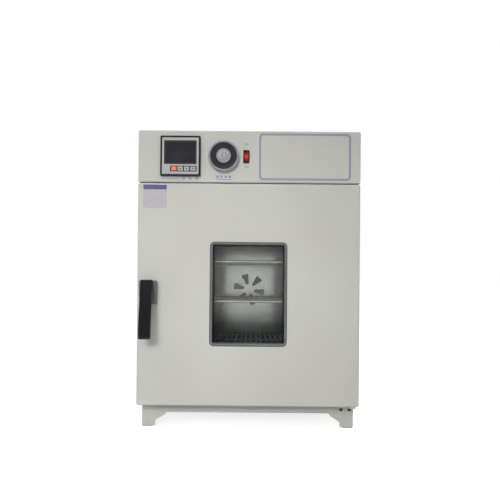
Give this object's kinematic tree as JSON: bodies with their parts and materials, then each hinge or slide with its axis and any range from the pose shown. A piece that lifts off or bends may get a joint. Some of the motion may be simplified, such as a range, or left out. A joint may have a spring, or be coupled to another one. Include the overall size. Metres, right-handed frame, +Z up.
{
  "type": "drying oven",
  "caption": "Bench-top forced-air drying oven with a side-hinged windowed door, stainless chamber, two wire shelves and a control head.",
  "frame": {"origin": "middle of the footprint, on the surface that the oven stands on", "axes": "+Z up, -Y out of the door towards the user, +X to the user's right"},
  "size_m": [0.535, 0.6, 0.7555],
  "materials": {
    "powder_coat": "fine orange-peel satin powder coat, warm light grey",
    "stainless": "bright rolled stainless sheet",
    "bright_wire": "bright nickel-chrome plated wire",
    "mineral_wool": "mineral wool slab",
    "heater_sheath": "stainless tube, straw and grey from heat",
    "silicone": "matt red-brown silicone",
    "dark_rubber": "matt dark grey rubber",
    "clear_glass": "clear toughened float glass",
    "zinc_steel": "zinc plated steel",
    "motor_paint": "dark grey motor enamel",
    "black_abs": "fine spark-textured black ABS",
    "display_lens": "smoked gloss lens",
    "dial_aluminium": "satin anodised aluminium",
    "vent_steel": "polished stainless",
    "brass": "plain turned brass",
    "die_cast": "dark grey painted zinc casting",
    "black_grip": "satin black moulded nylon",
    "key_orange": "orange moulded key",
    "key_grey": "pale grey moulded key",
    "switch_red": "translucent red rocker",
    "label_film": "white film label with a violet band",
    "print_ink": "lavender screen print",
    "print_blue": "dark blue screen print",
    "print_red": "red screen print"
  },
  "bodies": {
    "cabinet": {"side_panel_left": "powder_coat", "side_panel_right": "powder_coat", "top_panel": "powder_coat", "bottom_panel": "powder_coat", "rear_panel": "powder_coat", "front_frame": "powder_coat", "base_front": "powder_coat", "base_rear": "powder_coat", "base_sides": "powder_coat", "foot_pads": "dark_rubber", "chamber_side_walls": "stainless", "chamber_ceiling": "stainless", "chamber_floor_pan": "stainless", "chamber_back_wall": "stainless", "slotted_floor_plate": "stainless", "air_baffle": "stainless", "cabinet_insulation": "mineral_wool", "heating_elements": "heater_sheath", "temperature_probe": "stainless", "shelf_runners": "stainless", "door_seal": "silicone", "fan_motor": "motor_paint", "motor_cover": "powder_coat", "cable_gland": "black_abs", "electrics_deck": "zinc_steel", "power_electrics": "dial_aluminium", "control_fascia": "powder_coat", "controller_bezel": "black_abs", "controller_display": "display_lens", "controller_case": "black_abs", "dial_plate": "dial_aluminium", "thermostat_body": "black_abs", "switch_housing": "black_abs", "vent_tube": "vent_steel", "lower_hinge_bracket": "zinc_steel", "upper_hinge_bracket": "zinc_steel", "latch_keeper": "zinc_steel", "cabinet_screws": "zinc_steel"},
    "door": {"door_outer_skin": "powder_coat", "door_inner_skin": "stainless", "door_insulation": "mineral_wool", "door_bushes": "brass", "window_tunnel": "stainless", "window_gasket": "dark_rubber", "outer_glass": "clear_glass", "inner_glass": "clear_glass", "handle_base": "die_cast", "handle_pivot_pin": "zinc_steel"},
    "lever": {"handle_lever": "black_grip"},
    "latch": {"latch_rod": "zinc_steel"},
    "fan": {"fan_wheel": "zinc_steel"},
    "upper_shelf": {"shelf_upper": "bright_wire"},
    "lower_shelf": {"shelf_lower": "bright_wire"},
    "knob": {"thermostat_knob": "black_abs"},
    "rocker": {"switch_rocker": "switch_red"},
    "vent": {"vent_cap": "vent_steel"},
    "key_set_body": {"key_set": "key_orange"},
    "key_shift_body": {"key_shift": "key_grey"},
    "key_down_body": {"key_down": "key_grey"},
    "key_up_body": {"key_up": "key_grey"}
  },
  "joints": [
    {"name": "door_swing", "type": "hinge", "parent": "cabinet", "child": "door", "pos_m": [0.2535, -0.221, 0.3302], "axis": [0, 0, 1], "range_deg": [0, 150]},
    {"name": "lever_lift", "type": "hinge", "parent": "door", "child": "lever", "pos_m": [-0.2388, -0.25, 0.352], "axis": [-1, 0, 0], "range_deg": [0, 35]},
    {"name": "latch_draw", "type": "slide", "parent": "door", "child": "latch", "axis": [0, -1, 0], "range_m": [0, 0.012]},
    {"name": "fan_spin", "type": "hinge", "parent": "cabinet", "child": "fan", "pos_m": [0, 0.188, 0.334], "axis": [0, 1, 0], "continuous": true},
    {"name": "upper_shelf_slide", "type": "slide", "parent": "cabinet", "child": "upper_shelf", "axis": [0, -1, 0], "range_m": [0, 0.016]},
    {"name": "lower_shelf_slide", "type": "slide", "parent": "cabinet", "child": "lower_shelf", "axis": [0, -1, 0], "range_m": [0, 0.016]},
    {"name": "knob_turn", "type": "hinge", "parent": "cabinet", "child": "knob", "pos_m": [-0.0618, -0.2422, 0.6602], "axis": [0, 1, 0], "range_deg": [0, 270]},
    {"name": "rocker_tilt", "type": "hinge", "parent": "cabinet", "child": "rocker", "pos_m": [-0.0074, -0.231, 0.6602], "axis": [1, 0, 0], "range_deg": [-16, 0]},
    {"name": "vent_turn", "type": "hinge", "parent": "cabinet", "child": "vent", "pos_m": [0, 0.06, 0.753], "axis": [0, 0, 1], "range_deg": [0, 90]},
    {"name": "key_set_press", "type": "slide", "parent": "cabinet", "child": "key_set_body", "axis": [0, 1, 0], "range_m": [0, 0.0008], "stiffness_N_per_m": 400},
    {"name": "key_shift_press", "type": "slide", "parent": "cabinet", "child": "key_shift_body", "axis": [0, 1, 0], "range_m": [0, 0.0008], "stiffness_N_per_m": 400},
    {"name": "key_down_press", "type": "slide", "parent": "cabinet", "child": "key_down_body", "axis": [0, 1, 0], "range_m": [0, 0.0008], "stiffness_N_per_m": 400},
    {"name": "key_up_press", "type": "slide", "parent": "cabinet", "child": "key_up_body", "axis": [0, 1, 0], "range_m": [0, 0.0008], "stiffness_N_per_m": 400}
  ],
  "couplings": [
    {"joint": "latch_draw", "follows": "lever_lift", "m_per_rad": 0.01962}
  ]
}
